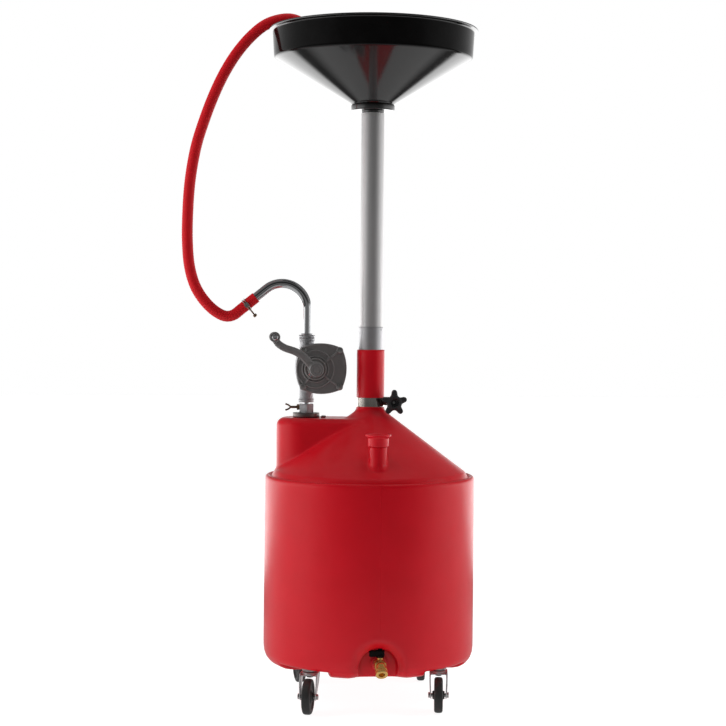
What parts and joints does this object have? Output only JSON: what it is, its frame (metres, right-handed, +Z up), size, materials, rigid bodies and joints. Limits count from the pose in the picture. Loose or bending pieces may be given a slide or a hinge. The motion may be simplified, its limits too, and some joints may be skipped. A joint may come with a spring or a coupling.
{
  "type": "portable oil drain",
  "caption": "Upright wheeled waste-oil drain: catch funnel on a sliding mast over a round tank, hand rotary pump with delivery hose, and a drain valve.",
  "frame": {"origin": "centre of the tank's flat underside, on the mast axis; the floor is 83 mm below", "axes": "+Z up along the mast, -Y towards the drain valve, +X towards the clamp knob"},
  "size_m": [0.652, 0.4861, 1.5177],
  "materials": {
    "tank_red": "satin rotomoulded polyethylene",
    "hose_red": "satin corrugated vinyl",
    "funnel_black": "gloss",
    "knob_black": "matte",
    "bushing_grey": "satin",
    "mast_aluminium": "satin anodised",
    "bright_steel": "polished",
    "zinc_steel": "zinc plated",
    "pump_cast": "dark grey cast",
    "cast_silver": "light grey cast",
    "brass": "machined",
    "bronze_screw": "dulled yellow passivate",
    "gasket_rubber": "matte",
    "wheel_tyre": "satin"
  },
  "bodies": {
    "root": {"tank": "tank_red", "neck_bushing": "bushing_grey", "clamp_band": "bright_steel", "clamp_bolt": "zinc_steel", "clamp_washer": "zinc_steel", "bung_adapter": "zinc_steel", "bung_gasket": "gasket_rubber", "suction_tube": "bright_steel", "vent_plug": "knob_black", "pump_body": "cast_silver", "pump_cover_gasket": "gasket_rubber", "pump_cover": "pump_cast", "pump_bolt_1": "zinc_steel", "pump_bolt_2": "zinc_steel", "pump_bolt_3": "zinc_steel", "pump_bolt_4": "zinc_steel", "shaft_gland_nut": "brass", "outlet_nut": "cast_silver", "gooseneck": "bright_steel", "hose": "hose_red", "hose_clamp": "zinc_steel", "drain_fitting": "bright_steel", "valve_body": "brass", "drain_nozzle": "brass", "caster_fl_plate": "zinc_steel", "caster_fr_plate": "zinc_steel", "caster_rl_plate": "zinc_steel", "caster_rr_plate": "zinc_steel"},
    "mast": {"mast_tube": "mast_aluminium", "mast_stop": "knob_black"},
    "funnel": {"funnel": "funnel_black", "funnel_collar": "funnel_black"},
    "strainer": {"funnel_strainer": "zinc_steel"},
    "port_cap": {"port_cap": "tank_red"},
    "clamp_knob": {"clamp_knob": "knob_black"},
    "crank": {"pump_rotor": "zinc_steel", "pump_vane_1": "knob_black", "pump_vane_2": "knob_black", "crank_arm": "pump_cast", "crank_set_screw": "bright_steel", "grip_bolt": "zinc_steel"},
    "crank_grip": {"crank_grip": "pump_cast"},
    "bung_screw": {"bung_thumb_screw": "bronze_screw"},
    "hose_clamp_screw": {"hose_clamp_screw": "bronze_screw"},
    "valve_lever": {"valve_lever": "knob_black", "valve_stem": "brass", "valve_ball": "bright_steel", "valve_lever_nut": "zinc_steel"},
    "caster_fl_fork": {"caster_fl_fork": "bright_steel", "caster_fl_axle": "zinc_steel"},
    "caster_fl_wheel": {"caster_fl_wheel": "wheel_tyre"},
    "caster_fr_fork": {"caster_fr_fork": "bright_steel", "caster_fr_axle": "zinc_steel"},
    "caster_fr_wheel": {"caster_fr_wheel": "wheel_tyre"},
    "caster_rl_fork": {"caster_rl_fork": "bright_steel", "caster_rl_axle": "zinc_steel"},
    "caster_rl_wheel": {"caster_rl_wheel": "wheel_tyre"},
    "caster_rr_fork": {"caster_rr_fork": "bright_steel", "caster_rr_axle": "zinc_steel"},
    "caster_rr_wheel": {"caster_rr_wheel": "wheel_tyre"}
  },
  "joints": [
    {"name": "mast_slide", "type": "slide", "parent": "root", "child": "mast", "axis": [0, 0, 1], "range_m": [-0.31, 0.22], "deforming": ["hose"]},
    {"name": "funnel_turn", "type": "hinge", "parent": "mast", "child": "funnel", "pos_m": [0, 0, 1.217], "axis": [0, 0, 1], "continuous": true},
    {"name": "strainer_lift", "type": "slide", "parent": "funnel", "child": "strainer", "axis": [0, 0, 1], "range_m": [0, 0.1]},
    {"name": "port_cap_lift", "type": "slide", "parent": "root", "child": "port_cap", "axis": [0, 0, 1], "range_m": [0, 0.05]},
    {"name": "clamp_knob_turn", "type": "hinge", "parent": "root", "child": "clamp_knob", "pos_m": [0.049, -0.03, 0.576], "axis": [0, -1, 0], "range_deg": [0, 1440]},
    {"name": "crank_turn", "type": "hinge", "parent": "root", "child": "crank", "pos_m": [-0.1239, -0.04, 0.6484], "axis": [0, -1, 0], "continuous": true},
    {"name": "crank_grip_spin", "type": "hinge", "parent": "crank", "child": "crank_grip", "pos_m": [-0.21814, -0.09, 0.71941], "axis": [0, -1, 0], "continuous": true},
    {"name": "bung_screw_turn", "type": "hinge", "parent": "root", "child": "bung_screw", "pos_m": [-0.16083, 0.02483, 0.5625], "axis": [-1, 0, 0], "range_deg": [0, 720]},
    {"name": "hose_clamp_screw_turn", "type": "hinge", "parent": "root", "child": "hose_clamp_screw", "pos_m": [-0.27504, 0.02298, 0.78857], "axis": [0.6314, 0, -0.7754], "range_deg": [0, 1080]},
    {"name": "valve_lever_turn", "type": "hinge", "parent": "root", "child": "valve_lever", "pos_m": [0.004, -0.208, 0.031], "axis": [0, 0, 1], "range_deg": [0, 90]},
    {"name": "caster_fl_swivel", "type": "hinge", "parent": "root", "child": "caster_fl_fork", "pos_m": [-0.139, -0.139, 0.003], "axis": [0, 0, 1], "continuous": true},
    {"name": "caster_fl_spin", "type": "hinge", "parent": "caster_fl_fork", "child": "caster_fl_wheel", "pos_m": [-0.14428, -0.16036, -0.045], "axis": [0.9707, -0.2402, 0], "continuous": true},
    {"name": "caster_fr_swivel", "type": "hinge", "parent": "root", "child": "caster_fr_fork", "pos_m": [0.139, -0.139, 0.003], "axis": [0, 0, 1], "continuous": true},
    {"name": "caster_fr_spin", "type": "hinge", "parent": "caster_fr_fork", "child": "caster_fr_wheel", "pos_m": [0.13614, -0.16081, -0.045], "axis": [0.9915, -0.1302, 0], "continuous": true},
    {"name": "caster_rl_swivel", "type": "hinge", "parent": "root", "child": "caster_rl_fork", "pos_m": [-0.139, 0.139, 0.003], "axis": [0, 0, 1], "continuous": true},
    {"name": "caster_rl_spin", "type": "hinge", "parent": "caster_rl_fork", "child": "caster_rl_wheel", "pos_m": [-0.1423, 0.16075, -0.045], "axis": [-0.9887, -0.15, 0], "continuous": true},
    {"name": "caster_rr_swivel", "type": "hinge", "parent": "root", "child": "caster_rr_fork", "pos_m": [0.139, 0.139, 0.003], "axis": [0, 0, 1], "continuous": true},
    {"name": "caster_rr_spin", "type": "hinge", "parent": "caster_rr_fork", "child": "caster_rr_wheel", "pos_m": [0.14111, 0.1609, -0.045], "axis": [-0.9954, 0.096, 0], "continuous": true}
  ]
}
